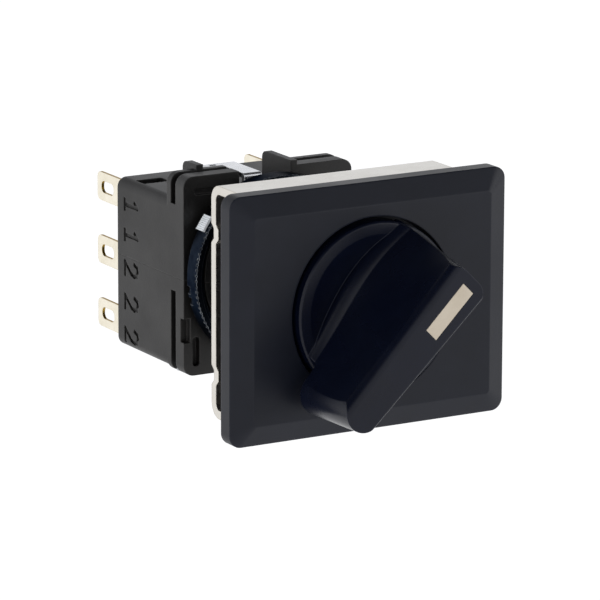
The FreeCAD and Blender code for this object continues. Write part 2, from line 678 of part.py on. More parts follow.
# ================================================================ locking ring
def make_locking_ring():
    y0, y1 = RING_Y, RING_Y + RING_T
    edge = RING_EDGE
    ring = tube(RING_R, RING_BORE_R, y0, y1 - edge)
    ring = ring.fuse(tube(RING_R - edge, RING_FLANGE_R, RING_FLANGE_Y, y1))
    worn = Part.makeCone(RING_R, RING_R - edge, edge, Vector(0, y1 - edge, 0), Y_DIR)
    ring = ring.fuse(worn.cut(cyl(RING_BORE_R, y0, y1 + 1)))
    for deg in (0, 180):
        half = TOOTH_HALF_DEG
        ring = ring.fuse(sector(TOOTH_R, RING_FLANGE_R + LAP, deg - half, deg + half, RING_FLANGE_Y, y1))
    cuts = []
    for i in range(RING_SERRATIONS):
        x, z = polar(RING_R + FIT, i * 360 / RING_SERRATIONS)
        cuts.append(cyl(SERRATION_R, y0 - 1, y0 + SERRATION_L, x, z))
    for deg in RING_NOTCH_DEGS:
        x, z = polar(RING_R + RING_NOTCH_OUT, deg)
        cuts.append(cyl(RING_NOTCH_R, y1 - RING_NOTCH_L, y1 + 1, x, z))
    ring = ring.cut(Part.makeCompound(cuts))
    return ring.removeSplitter()


def tooth_windows():
    """Openings in the hub that the ring's teeth reach through and sweep along."""
    y0, y1 = RING_FLANGE_Y - SEAT_GAP, BLOCK_FRONT_Y
    low = -TOOTH_HALF_DEG - RING_TRAVEL - STOP_SLACK_DEG
    high = TOOTH_HALF_DEG + STOP_SLACK_DEG
    windows = [sector(BARREL_R - 1, HUB_R + 1, deg + low, deg + high, y0, y1) for deg in (0, 180)]
    return windows[0].fuse(windows[1])


def make_thumb_pad():
    """Ribbed pad pressed over the edge of the ring."""
    a0, a1 = THUMB_PAD_DEG - THUMB_PAD_HALF_DEG, THUMB_PAD_DEG + THUMB_PAD_HALF_DEG
    y0, y1 = RING_Y + THUMB_PAD_INSET, RING_Y + RING_T - RING_EDGE
    pad = sector(RING_R + FIT, RING_R + THUMB_PAD_H, a0, a1, y0, y1)
    step = (a1 - a0) / THUMB_PAD_RIBS
    cuts = []
    for i in range(1, THUMB_PAD_RIBS):
        x, z = polar(RING_R + THUMB_PAD_H + FIT, a0 + i * step)
        cuts.append(cyl(THUMB_RIB_R, y0 - 1, y1 + 1, x, z))
    return pad.cut(Part.makeCompound(cuts))


def make_locking_lever():
    """Bent strip: a leg flat on the ring's rear face, an arm through the top opening."""
    y0 = RING_Y + RING_T
    z1 = LEVER_TOP_Z
    z0 = z1 - LEVER_T
    arm = box(LEVER_X0, LEVER_X1, y0, LEVER_END_Y, z0, z1)
    leg = box(LEVER_X0, LEVER_X1, y0, y0 + LEVER_T, 0, z1)
    leg = leg.cut(cyl(RING_FLANGE_R + LEVER_LEG_GAP, y0 - 1, y0 + LEVER_T + 1))
    hook = box(LEVER_HOOK_X, LEVER_X0 + LAP, LEVER_HOOK_Y, LEVER_END_Y, z0, z1)
    mid_y = (LEVER_HOOK_Y + LEVER_END_Y) / 2
    mid_x = (LEVER_HOOK_X + LEVER_X0) / 2
    window = box(
        mid_x - LEVER_WINDOW_X / 2, mid_x + LEVER_WINDOW_X / 2,
        mid_y - LEVER_WINDOW_Y / 2, mid_y + LEVER_WINDOW_Y / 2, 0, z1 + 1,
    )
    body = arm.fuse(leg).fuse(hook).cut(window).removeSplitter()

    def outer_bend(e):
        at_front = abs(e.BoundBox.YMin - y0) < 1e-4
        return along(e, Vector(1, 0, 0)) and at_front and e.BoundBox.ZMin > z1 - 0.01

    return fillet_where(body, LEVER_T * 0.7, outer_bend)


# ================================================================ contact block
def make_block():
    """Both housing halves as one body, before they are parted."""
    w = BLOCK_HALF_W
    plate_h = (PLATE_TOP_Z - PLATE_BOTTOM_Z) / 2
    plate_z = (PLATE_TOP_Z + PLATE_BOTTOM_Z) / 2
    front = rounded_prism(w, plate_h, PLATE_CORNER_R, BLOCK_FRONT_Y, RIM_BACK_Y, 0, plate_z)
    main_h = (BLOCK_TOP_Z - BLOCK_BOTTOM_Z) / 2
    main_z = (BLOCK_TOP_Z + BLOCK_BOTTOM_Z) / 2
    body = front.fuse(rounded_prism(w, main_h, BLOCK_CORNER_R, RIM_BACK_Y, BLOCK_BACK_Y, 0, main_z))
    body = body.cut(box(-w - 1, w + 1, PLATE_BACK_Y, RIM_Y, TOP_SLOT_Z, PLATE_TOP_Z + 1))
    side = box(-w - 1, -w + LOW_SLOT_DEPTH, PLATE_BACK_Y, RIM_Y, PLATE_BOTTOM_Z - 1, LOW_SLOT_Z)
    body = body.cut(side).cut(mirrored(side))
    body = body.cut(box(OPENING_X0, OPENING_X1, BLOCK_FRONT_Y - 1, RIM_BACK_Y, BLOCK_TOP_Z, PLATE_TOP_Z + 2))
    body = body.fuse(make_guards())
    hub = tube(HUB_R, BARREL_R + SEAT_GAP, HUB_Y, BLOCK_FRONT_Y).cut(tooth_windows())
    body = body.fuse(hub)
    return cut_block_front(cut_block_inside(body))


def make_guards():
    """Two upright walls either side of the lever."""
    right = guard(OPENING_X1, BLOCK_FRONT_Y, GUARD_END_Y)
    left = guard(LEFT_GUARD_X, LEFT_GUARD_Y0, GUARD_END_Y - LEFT_GUARD_SHORT)
    return right.fuse(left)


def guard(x0, y0, y1):
    """Wall in a YZ plane with a round top rear corner."""
    r = GUARD_CORNER_R
    z0, z1 = BLOCK_TOP_Z - 1, GUARD_TOP_Z
    s = r * (1 - math.sqrt(0.5))
    v = [Vector(x0, y0, z0), Vector(x0, y0, z1), Vector(x0, y1 - r, z1)]
    v += [Vector(x0, y1 - s, z1 - s), Vector(x0, y1, z1 - r), Vector(x0, y1, z0)]
    edges = [Part.LineSegment(v[0], v[1]).toShape(), Part.LineSegment(v[1], v[2]).toShape()]
    edges.append(Part.Arc(v[2], v[3], v[4]).toShape())
    edges += [Part.LineSegment(v[4], v[5]).toShape(), Part.LineSegment(v[5], v[0]).toShape()]
    return Part.Face(Part.Wire(edges)).extrude(Vector(GUARD_T, 0, 0))


def cut_block_front(body):
    """Grooves, pockets and notches on the front plate, the top slots and the numerals."""
    y = BLOCK_FRONT_Y
    w, h = UPPER_SLOT_HALF_W, UPPER_SLOT_HALF_H
    upper = rounded_prism(w, h, h - SLOT_END_FLAT, y - 1, y + UPPER_SLOT_DEPTH, UPPER_SLOT_X, UPPER_SLOT_Z)
    w, h = FOOT_SLOT_HALF_W, FOOT_SLOT_HALF_H
    foot = rounded_prism(w, h, w - SLOT_END_FLAT, y - 1, y + FOOT_SLOT_DEPTH, FOOT_SLOT_X, FOOT_SLOT_Z)
    x0, x1 = -BLOCK_HALF_W - 1, -BLOCK_HALF_W + EDGE_NOTCH_W
    notch = box(x0, x1, y - 1, y + EDGE_NOTCH_DEPTH, EDGE_NOTCH_Z0, EDGE_NOTCH_Z1)
    y0, z0 = TOP_PORT_Y, BLOCK_TOP_Z - BLOCK_WALL
    port = box(TOP_PORT_X0, TOP_PORT_X1, y0, y0 + TOP_PORT_L, z0, BLOCK_TOP_Z + 1)
    for part in (upper, foot, notch, port):
        body = body.cut(part).cut(mirrored(part))
    return body.cut(make_numerals())


def numeral_strokes(digit):
    """Centre-line points of a plain stroke numeral in a unit box."""
    if digit == 1:
        return [[(0.25, 0.78), (0.55, 1.0), (0.55, 0.0)], [(0.2, 0.0), (0.9, 0.0)]]
    bowl = [(0.05, 0.75), (0.2, 0.95), (0.5, 1.0), (0.8, 0.93), (0.92, 0.72), (0.8, 0.5)]
    return [bowl + [(0.05, 0.0), (0.98, 0.0)]]


def make_numerals():
    """Plain terminal numerals cut into the left side, read from the top down."""
    x0 = -BLOCK_HALF_W - LAP
    cuts = []
    for digit, z in NUMERALS:
        for line in numeral_strokes(digit):
            pts = [(NUMERAL_Y + (0.5 - v) * NUMERAL_H, z + (0.5 - u) * NUMERAL_W) for u, v in line]
            for a, b in zip(pts, pts[1:]):
                cuts.append(stroke(x0, x0 + LAP + NUMERAL_DEPTH, a, b))
    return cuts[0].multiFuse(cuts[1:])


def stroke(x0, x1, a, b):
    """Straight stroke with a flat bottom between two Y, Z points."""
    dy, dz = b[0] - a[0], b[1] - a[1]
    n = math.hypot(dy, dz)
    h = NUMERAL_STROKE / 2
    ey, ez = dy / n * h, dz / n * h
    ny, nz = -ez, ey
    pts = [
        (x0, a[0] - ey + ny, a[1] - ez + nz), (x0, b[0] + ey + ny, b[1] + ez + nz),
        (x0, b[0] + ey - ny, b[1] + ez - nz), (x0, a[0] - ey - ny, a[1] - ez - nz),
    ]
    return polygon_prism(pts, (x1 - x0, 0, 0))


def chamber_limits():
    """Half width, bottom and top of the contact chamber."""
    top = BLOCK_TOP_Z - BLOCK_WALL + CHAMBER_ROOF_RELIEF
    return BLOCK_HALF_W - BLOCK_WALL, BLOCK_BOTTOM_Z + BLOCK_WALL, top


def cut_block_inside(body):
    """Shaft bores, contact chamber and terminal slots."""
    half, z0, z1 = chamber_limits()
    inner_y = BLOCK_BACK_Y - BACK_WALL
    body = body.cut(box(-half, half, CHAMBER_FRONT_Y, inner_y, z0, z1))
    cup_y = BLOCK_FRONT_Y + PLATE_T
    body = body.cut(cyl(SHAFT_CUP_R + RUN, HUB_Y - 1, cup_y))
    body = body.cut(cyl(BARREL_R + SEAT_GAP, HUB_Y - 1, BLOCK_FRONT_Y))
    body = body.cut(cyl(SHAFT_R + RUN, cup_y - 1, CHAMBER_FRONT_Y + 1))
    for x in (-TAB_X, TAB_X):
        for z in TAB_ROWS:
            t, w = TAB_T / 2 + FIT, TAB_W / 2 + FIT
            body = body.cut(box(x - t, x + t, inner_y - 1, BLOCK_BACK_Y + 1, z - w, z + w))
    for x in (-SCREW_X, SCREW_X):
        body = body.cut(screw_space(x))
    return body


def screw_space(x):
    """Clearance for one housing screw, entered from below."""
    seat = 1 + SCREW_SINK + SCREW_HEAD_T
    head = Part.makeCylinder(SCREW_HEAD_R + SEAT_GAP, seat, Vector(x, SCREW_AT_Y, PLATE_BOTTOM_Z - 1))
    depth = SCREW_SINK + SCREW_L + LAP - SEAT_GAP
    shank = Part.makeCylinder(SCREW_R + FIT, depth, Vector(x, SCREW_AT_Y, PLATE_BOTTOM_Z))
    return head.fuse(shank)


def make_housings():
    """Upper and lower halves, parted just under the shaft axis."""
    body = make_block()
    far = 100.0
    upper = body.common(box(-far, far, -far, far, PARTING_Z, far))
    lower = body.common(box(-far, far, -far, far, -far, PARTING_Z))
    return upper, lower


def make_housing_screws():
    screws = []
    for x in (-SCREW_X, SCREW_X):
        z0 = PLATE_BOTTOM_Z + SCREW_SINK
        head = Part.makeCylinder(SCREW_HEAD_R, SCREW_HEAD_T, Vector(x, SCREW_AT_Y, z0))
        shank = Part.makeCylinder(SCREW_R, SCREW_L, Vector(x, SCREW_AT_Y, z0))
        screw = head.fuse(shank)
        for turn in (0, 90):
            length, width = SCREW_SLOT_L, SCREW_SLOT_W
            slot = Part.makeBox(length, width, SCREW_SLOT_DEPTH, Vector(-length / 2, -width / 2, 0))
            slot.rotate(Vector(0, 0, 0), Vector(0, 0, 1), turn)
            slot.translate(Vector(x, SCREW_AT_Y, z0))
            screw = screw.cut(slot)
        screws.append(screw.removeSplitter())
    return Part.makeCompound(screws)


def make_block_shaft():
    y0 = BARREL_LEN - SPINDLE_BACK + 2 * SEAT_GAP
    cup_end = BLOCK_FRONT_Y + PLATE_T - SEAT_GAP
    body = cyl(SHAFT_CUP_R, y0, cup_end).fuse(cyl(SHAFT_R, y0, CARRIER_Y))
    body = body.fuse(square_bar(SHAFT_SQUARE, CARRIER_Y - LAP, CARRIER_Y + CARRIER_T + SHAFT_SQUARE_EXTRA))
    t = TONGUE_T / 2 + FIT
    slot_end = BARREL_LEN - SPINDLE_BACK + TONGUE_L + SEAT_GAP
    slot = box(-SHAFT_CUP_R - 1, SHAFT_CUP_R + 1, y0 - 1, slot_end, -t, t)
    return body.cut(slot).removeSplitter()


def make_contact_carrier():
    y0, y1 = CARRIER_Y, CARRIER_Y + CARRIER_T
    body = cyl(CARRIER_R, y0, y1)
    body = body.fuse(cyl(CARRIER_BOSS_R, y1 - LAP, y1 + CARRIER_BOSS_H))
    body = body.cut(turned(square_bar(SHAFT_SQUARE + 2 * FIT, y0 - 1, y1 + 2), KNOB_ANGLE - 90))
    for deg in (135, 315):
        x, z = polar(SPRING_AT_R, deg)
        body = body.cut(cyl(SPRING_R + SPRING_WIRE_R + 2 * FIT, y1 - POCKET_DEPTH, y1 + 1, x, z))
        for side in (-POST_DEG, POST_DEG):
            x, z = polar(COMMON_R, deg + side)
            body = body.fuse(cyl(POST_R, y1 - LAP, BRIDGE_Y + BRIDGE_T, x, z))
    return body.removeSplitter()


def make_bridge(deg):
    """Sprung bridge: a slip arc for the common contact and a finger for the throw contact."""
    y0, y1 = BRIDGE_Y, BRIDGE_Y + BRIDGE_T
    body = sector(BRIDGE_IN_R, BRIDGE_OUT_R, -BRIDGE_HALF_DEG, BRIDGE_HALF_DEG, y0, y1)
    half = BRIDGE_FINGER_W / 2
    finger = box(BRIDGE_OUT_R - 0.8, THROW_R, y0, y1, -half, half)
    body = body.fuse(finger).fuse(cyl(half, y0, y1, THROW_R, 0))
    contact_end = STRIP_Y - THROW_BUTTON_H - FIT
    body = body.fuse(cyl(BUTTON_R, y0, contact_end, THROW_R, 0))
    for side in (-POST_DEG, POST_DEG):
        x, z = polar(COMMON_R, side)
        body = body.cut(cyl(POST_R + FIT, y0 - 1, y1 + 1, x, z))
    return turned(body.removeSplitter(), -deg)


def make_contact_spring(deg):
    """Compression spring between the carrier's pocket and a bridge."""
    y0 = CARRIER_Y + CARRIER_T - POCKET_DEPTH + SPRING_WIRE_R + FIT
    height = BRIDGE_Y - SPRING_WIRE_R - FIT - y0
    x, z = polar(SPRING_AT_R, deg)
    helix = Part.makeHelix(height / SPRING_TURNS, height, SPRING_R)
    start = helix.Edges[0].valueAt(helix.Edges[0].FirstParameter)
    circle = Part.makeCircle(SPRING_WIRE_R, start, Vector(0, 1, 0))
    spring = Part.Wire(helix.Edges).makePipeShell([Part.Wire([circle])], True, True)
    spring.rotate(Vector(0, 0, 0), Vector(1, 0, 0), -90)
    spring.translate(Vector(x, y0, z))
    return spring


# ================================================================ terminals
def make_terminal(side, row):
    """Tab, root and contact strip of one terminal; side is -1 for left and 1 for right."""
    z = TAB_ROWS[row]
    t = TAB_T / 2
    tab_y0 = BLOCK_BACK_Y - BACK_WALL
    half = TAB_W / 2
    tab = box(-t, t, tab_y0, TAB_END_Y, -half, half)
    tab = fillet_where(
        tab, TAB_CORNER_R,
        lambda e: along(e, Vector(1, 0, 0)) and e.BoundBox.YMin > TAB_END_Y - 0.1,
    )
    hole_w, hole_h = TAB_HOLE_L / 2, TAB_HOLE_H / 2
    hole = box(-1, 1, TAB_HOLE_Y - hole_w, TAB_HOLE_Y + hole_w, -hole_h, hole_h)
    hole = fillet_where(hole, hole_h - SEAT_GAP, lambda e: along(e, Vector(1, 0, 0)))
    tab = tab.cut(hole)
    tab.translate(Vector(-TAB_X, 0, z))
    root = box(-TAB_X - t, -TAB_X + t, STRIP_Y, tab_y0 + 0.1, z - ROOT_W / 2, z + ROOT_W / 2)
    pad_x, pad_z = contact_point(row)
    w = STRIP_W / 2
    y0, y1 = STRIP_Y, STRIP_Y + STRIP_T
    lo, hi = min(z - ROOT_W / 2, pad_z - w), max(z + ROOT_W / 2, pad_z + w)
    riser = box(-TAB_X - t, -TAB_X + RISER_W, y0, y1, lo, hi)
    strip = box(-TAB_X - t, pad_x, y0, y1, pad_z - w, pad_z + w).fuse(cyl(w, y0, y1, pad_x, pad_z))
    body = tab.fuse(root).fuse(riser).fuse(strip).removeSplitter()
    return body if side < 0 else mirrored(body)


def contact_point(row):
    """X and Z of a left-hand fixed contact."""
    if row == 1:
        return polar(COMMON_R, 180)
    return polar(THROW_R, 135 if row == 0 else 225)


def make_fixed_contacts():
    buttons = []
    for row in range(len(TAB_ROWS)):
        x, z = contact_point(row)
        front = BRIDGE_Y + BRIDGE_T + FIT if row == 1 else STRIP_Y - THROW_BUTTON_H
        button = cyl(BUTTON_R - 0.1, front, STRIP_Y, x, z)
        buttons += [button, mirrored(button)]
    return Part.makeCompound(buttons)


def make_terminal_base():
    """Moulded plate behind the contact strips, slotted for the terminal roots."""
    half, z0, z1 = chamber_limits()
    y0 = STRIP_Y + STRIP_T
    body = box(-half + SEAT_GAP, half - SEAT_GAP, y0, y0 + BASE_T, z0 + SEAT_GAP, z1 - SEAT_GAP)
    for x in (-TAB_X, TAB_X):
        for z in TAB_ROWS:
            t, w = TAB_T / 2 + FIT, ROOT_W / 2 + FIT
            inner = x - t - 1 if x < 0 else x - t
            body = body.cut(box(inner, inner + 2 * t + 1, y0 - 1, y0 + BASE_T + 1, z - w, z + w))
    return body


def main():
    os.makedirs("parts", exist_ok=True)
    upper, lower = make_housings()
    knob_turn = KNOB_ANGLE - 90
    nodes = {
        "front_bezel": make_front_bezel(),
        "panel_gasket": make_panel_gasket(),
        "shaft_seal": make_shaft_seal(),
        "mounting_bracket": make_mounting_bracket(),
        "bracket_nut": make_bracket_nut(),
        "knob": turned(make_knob(), knob_turn),
        "marker_inlay": turned(make_marker_inlay(), knob_turn),
        "spindle": turned(make_spindle(), knob_turn),
        "thrust_washer": make_thrust_washer(),
        "retaining_clip": make_retaining_clip(),
        "index_wheel": make_index_wheel(),
        "detent_springs": make_detent_springs(),
        "locking_ring": make_locking_ring(),
        "thumb_pad": make_thumb_pad(),
        "locking_lever": make_locking_lever(),
        "upper_housing": upper,
        "lower_housing": lower,
        "housing_screws": make_housing_screws(),
        "block_shaft": turned(make_block_shaft(), knob_turn),
        "contact_carrier": make_contact_carrier(),
        "bridge_left": make_bridge(135),
        "bridge_right": make_bridge(315),
        "contact_spring_left": make_contact_spring(135),
        "contact_spring_right": turned(make_contact_spring(135), 180),
        "fixed_contacts": make_fixed_contacts(),
        "terminal_base": make_terminal_base(),
    }
    for side, word in ((-1, "left"), (1, "right")):
        for row, name in enumerate(TAB_ROW_NAMES):
            nodes["terminal_" + word + "_" + name] = make_terminal(side, row)
    for name, shape in nodes.items():
        export(name, shape)


main()
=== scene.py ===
"""Rotary isolator switch: finishes, fine detail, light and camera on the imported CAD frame.

The shaft runs along Y with the knob towards -Y. Everything is in metres in the CAD frame.
"""
from __future__ import annotations

import logging
import math
from dataclasses import dataclass, field
from enum import Enum

import bmesh
import bpy
from mathutils import Matrix, Vector

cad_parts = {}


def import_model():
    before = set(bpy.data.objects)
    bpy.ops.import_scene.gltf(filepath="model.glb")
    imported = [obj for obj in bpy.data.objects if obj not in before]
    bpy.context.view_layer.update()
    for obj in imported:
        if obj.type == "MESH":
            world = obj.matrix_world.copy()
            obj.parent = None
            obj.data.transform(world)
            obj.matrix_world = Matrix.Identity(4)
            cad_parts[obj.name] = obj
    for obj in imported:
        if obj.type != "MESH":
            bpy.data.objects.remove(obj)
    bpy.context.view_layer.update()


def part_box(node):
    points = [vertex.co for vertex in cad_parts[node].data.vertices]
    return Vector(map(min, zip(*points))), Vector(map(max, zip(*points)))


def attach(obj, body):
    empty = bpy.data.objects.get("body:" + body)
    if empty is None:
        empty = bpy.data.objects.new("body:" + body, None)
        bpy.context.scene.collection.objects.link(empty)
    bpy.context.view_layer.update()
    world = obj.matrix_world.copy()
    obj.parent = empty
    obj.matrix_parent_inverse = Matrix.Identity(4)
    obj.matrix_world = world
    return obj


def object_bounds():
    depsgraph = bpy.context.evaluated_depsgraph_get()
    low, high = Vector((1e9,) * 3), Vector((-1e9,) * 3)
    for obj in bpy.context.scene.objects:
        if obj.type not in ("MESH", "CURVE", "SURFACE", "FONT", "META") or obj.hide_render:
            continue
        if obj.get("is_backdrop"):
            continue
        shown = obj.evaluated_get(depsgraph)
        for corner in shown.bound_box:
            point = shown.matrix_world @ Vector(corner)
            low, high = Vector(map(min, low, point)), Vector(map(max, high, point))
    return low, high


LOG = logging.getLogger("rotary_switch")
MM = 0.001

# Bevel samples: enough for a smooth rounded edge.
BEVEL_SAMPLES = 6
# The band of painted edge highlight and wear is a little wider than the rounded edge.
EDGE_BAND_WIDTH = 1.6
# Cosines between the rounded and the flat normal where the painted-highlight and wear edge band starts and is
# complete.
EDGE_BAND_STARTS, EDGE_BAND_FULL = 0.995, 0.86
# Size of the noise patches that break up the edge band, and the noise levels between full band and plain
# surface.
BREAKUP_MM = 1.7
BREAKUP_LOW, BREAKUP_HIGH = 0.36, 0.62
# Noise levels between the two colours of the broad mottling.
MOTTLE_LOW, MOTTLE_HIGH = 0.32, 0.68
# Noise levels between the dull and the glossy end of a finish.
GLOSS_LOW, GLOSS_HIGH = 0.3, 0.7
# Size of the normal along the face axis where a strip's face ends and its sheared edge is complete.
FACE_ENDS, SHEAR_FULL = 0.75, 0.45
# Distances in a speckle's cell where the dot starts and is complete.
DOT_EDGE, DOT_CORE = 0.26, 0.16


class Body(Enum):
    """The rigid body that added pieces ride on."""

    SWITCH = "switch_body"


class Axis(Enum):
    """The axis that a flat strip's faces look along."""

    X = 0
    Y = 1


# ------------------------------------------------------------------ node and colour helpers
def linear(code: str) -> tuple[float, float, float, float]:
    """Turn an sRGB hex colour into linear values.

    Args:
        code: Colour as #RRGGBB.

    Returns:
        Linear red, green, blue and an alpha of one.
    """
    parts = [int(code[i:i + 2], 16) / 255 for i in (1, 3, 5)]
    values = [c / 12.92 if c <= 0.04045 else ((c + 0.055) / 1.055) ** 2.4 for c in parts]
    return values[0], values[1], values[2], 1.0


def put(tree: bpy.types.NodeTree, kind: str, settings: dict | None = None, **links: object) -> bpy.types.Node:
    """Add a node, set its properties and fill its inputs.

    Args:
        tree: Node tree to add to.
        kind: Node type name without its ShaderNode prefix.
        settings: Properties of the node itself.
        links: Input sockets by name, with spaces as underscores, or by index as _0, _1. A value is
            set on the socket, and an output socket is linked to it.

    Returns:
        The new node.
    """
    node = tree.nodes.new("ShaderNode" + kind)
    for name, value in (settings or {}).items():
        setattr(node, name, value)
    for name, value in links.items():
        index = name[1:]
        socket = node.inputs[int(index)] if index.isdigit() else node.inputs[name.replace("_", " ")]
        if isinstance(value, bpy.types.NodeSocket):
            tree.links.new(value, socket)
        else:
            socket.default_value = value
    return node


# ------------------------------------------------------------------ finishes
@dataclass(frozen=True)
class Finish:
    """What every finish has: a name, a colour and the scale of its surface pattern."""

    name: str
    colour: str
    shade: str
    # edge: colour of the edge band; lighter than the body where it paints an edge highlight, a wear colour on
    # the plated strip.
    edge: str
    roughness: float
    roughness_spread: float
    grain_mm: float
    grain_depth_mm: float
    mottle_mm: float
    edge_mm: float = 0.18
    edge_amount: float = 0.5

    def material(self) -> bpy.types.Material:
        """Return the finish's material, made once."""
        found = bpy.data.materials.get(self.name)
        return found or self.build()

    def start(self) -> tuple[bpy.types.NodeTree, bpy.types.Node, bpy.types.NodeSocket]:
        """Make the material with its shader and object coordinates.

        Returns:
            The node tree, the principled shader and the coordinate socket.
        """
        made = bpy.data.materials.new(self.name)
        made.use_nodes = True
        tree = made.node_tree
        tree.nodes.clear()
        shader = put(tree, "BsdfPrincipled")
        put(tree, "OutputMaterial", Surface=shader.outputs[0])
        coords = put(tree, "TexCoord").outputs["Object"]
        return tree, shader, coords

    def wear_and_highlight_mask(self, tree: bpy.types.NodeTree, coords: bpy.types.NodeSocket) -> bpy.types.NodeSocket:
        """Mask of the outer edges, broken up by noise: a painted highlight on the dark and pale finishes,
        wear on the plated strip.

        Args:
            tree: Node tree to add to.
            coords: Object coordinates.

        Returns:
            Socket that is one on the edge band (painted highlight, with wear on the plated strip) and zero on
            open surface.
        """
        soft = put(tree, "Bevel", {"samples": BEVEL_SAMPLES}, Radius=self.edge_mm * EDGE_BAND_WIDTH * MM)
        flat = put(tree, "NewGeometry")
        dot = put(
            tree, "VectorMath", {"operation": "DOT_PRODUCT"}, _0=soft.outputs[0], _1=flat.outputs["Normal"]
        )
        turn = put(
            tree, "MapRange", None, Value=dot.outputs["Value"], From_Min=EDGE_BAND_STARTS, From_Max=EDGE_BAND_FULL
        )
        band_noise = put(tree, "TexNoise", None, Vector=coords, Scale=1 / (BREAKUP_MM * MM), Detail=5.0, Roughness=0.6)
        band_breakup = put(tree, "MapRange", None, Value=band_noise.outputs[0], From_Min=BREAKUP_LOW, From_Max=BREAKUP_HIGH)
        both = put(tree, "Math", {"operation": "MULTIPLY"}, _0=turn.outputs[0], _1=band_breakup.outputs[0])
        mask = put(
            tree, "Math", {"operation": "MULTIPLY", "use_clamp": True},
            _0=both.outputs[0], _1=self.edge_amount,
        )
        return mask.outputs[0]

    def surface_colour(self, tree: bpy.types.NodeTree, coords: bpy.types.NodeSocket) -> bpy.types.NodeSocket:
        """Base colour with broad mottling and an edge band of painted highlight and wear.

        Args:
            tree: Node tree to add to.
            coords: Object coordinates.

        Returns:
            Colour socket.
        """
        cloud = put(
            tree, "TexNoise", None, Vector=coords, Scale=1 / (self.mottle_mm * MM), Detail=4.0, Roughness=0.55
        )
        spread = put(
            tree, "MapRange", None, Value=cloud.outputs[0], From_Min=MOTTLE_LOW, From_Max=MOTTLE_HIGH
        )
        mixed = put(
            tree, "Mix", {"data_type": "RGBA"},
            _0=spread.outputs[0], _6=linear(self.colour), _7=linear(self.shade),
        )
        # The edge colour is painted along the rounded edges: a painted highlight where it is lighter than the
        # body, wear on the plated strip.
        mask = self.wear_and_highlight_mask(tree, coords)
        wear_and_highlight_colour = put(tree, "Mix", {"data_type": "RGBA"}, _0=mask, _6=mixed.outputs[2], _7=linear(self.edge))
        return wear_and_highlight_colour.outputs[2]


@dataclass(frozen=True)
class MouldedPlastic(Finish):
    """Injection-moulded plastic with a spark-eroded tool texture: a fine pebble that dulls the gloss."""

    ior: float = 1.5
    specular: float = 0.5

    def build(self) -> bpy.types.Material:
        """Build the material.

        Returns:
            The moulded plastic.
        """
        tree, shader, coords = self.start()
        pebble = put(
            tree, "TexVoronoi", {"feature": "SMOOTH_F1"}, Vector=coords, Scale=1 / (self.grain_mm * MM),
            Smoothness=0.8, Randomness=1.0,
        )
        grit = put(tree, "TexNoise", None, Vector=coords, Scale=2.2 / (self.grain_mm * MM), Detail=3.0)
        height = put(tree, "Math", {"operation": "ADD"}, _0=pebble.outputs["Distance"], _1=grit.outputs[0])
        round_edge = put(tree, "Bevel", {"samples": BEVEL_SAMPLES}, Radius=self.edge_mm * MM)
        bump = put(
            tree, "Bump", None, Strength=0.55, Distance=self.grain_depth_mm * MM,
            Height=height.outputs[0], Normal=round_edge.outputs[0],
        )
        flow = put(tree, "TexNoise", None, Vector=coords, Scale=1 / (3 * self.mottle_mm * MM), Detail=6.0)
        gloss = put(
            tree, "MapRange", None, Value=flow.outputs[0], From_Min=GLOSS_LOW, From_Max=GLOSS_HIGH,
            To_Min=self.roughness - self.roughness_spread, To_Max=self.roughness + self.roughness_spread,
        )
        shader.inputs["IOR"].default_value = self.ior
        shader.inputs["Specular IOR Level"].default_value = self.specular
        tree.links.new(self.surface_colour(tree, coords), shader.inputs["Base Color"])
        tree.links.new(gloss.outputs[0], shader.inputs["Roughness"])
        tree.links.new(bump.outputs[0], shader.inputs["Normal"])
        return bpy.data.materials[self.name]


@dataclass(frozen=True)
class PlatedMetal(Finish):
    """Plated sheet or turned metal: rolling or turning lines under the plate stretch the reflections."""

    stretch: tuple[float, float, float] = (1.0, 1.0, 12.0)
    metallic: float = 1.0
    speckle: float = 0.0
    glance: float = 1.0

    def build(self) -> bpy.types.Material:
        """Build the material.

        Returns:
            The plated metal.
        """
        tree, shader, coords = self.start()
        k = 1 / (self.grain_mm * MM)
        scale = tuple(k / s for s in self.stretch)
        laid = put(tree, "Mapping", None, Vector=coords, Scale=scale)
        lines = put(tree, "TexNoise", None, Vector=laid.outputs[0], Scale=1.0, Detail=5.0, Roughness=0.6)
        pits = put(tree, "TexNoise", None, Vector=coords, Scale=0.35 * k, Detail=4.0)
        height = put(tree, "Math", {"operation": "ADD"}, _0=lines.outputs[0], _1=pits.outputs[0])
        round_edge = put(tree, "Bevel", {"samples": BEVEL_SAMPLES}, Radius=self.edge_mm * MM)
        bump = put(
            tree, "Bump", None, Strength=0.4, Distance=self.grain_depth_mm * MM,
            Height=height.outputs[0], Normal=round_edge.outputs[0],
        )
        gloss = put(
            tree, "MapRange", None, Value=lines.outputs[0], From_Min=GLOSS_LOW, From_Max=GLOSS_HIGH,
            To_Min=self.roughness - self.roughness_spread, To_Max=self.roughness + self.roughness_spread,
        )
        colour = self.surface_colour(tree, coords)
        if self.speckle > 0:
            dots = put(tree, "TexVoronoi", None, Vector=coords, Scale=2.2 * k)
            lit = put(
                tree, "MapRange", None, Value=dots.outputs["Distance"],
                From_Min=DOT_EDGE, From_Max=DOT_CORE, To_Max=self.speckle,
            )
            colour = put(
                tree, "Mix", {"data_type": "RGBA"}, _0=lit.outputs[0], _6=colour, _7=linear(self.edge)
            ).outputs[2]
        shader.inputs["Metallic"].default_value = self.metallic
        shader.inputs["Specular Tint"].default_value = (self.glance, self.glance, self.glance, 1.0)
        tree.links.new(colour, shader.inputs["Base Color"])
        tree.links.new(gloss.outputs[0], shader.inputs["Roughness"])
        tree.links.new(bump.outputs[0], shader.inputs["Normal"])
        return bpy.data.materials[self.name]


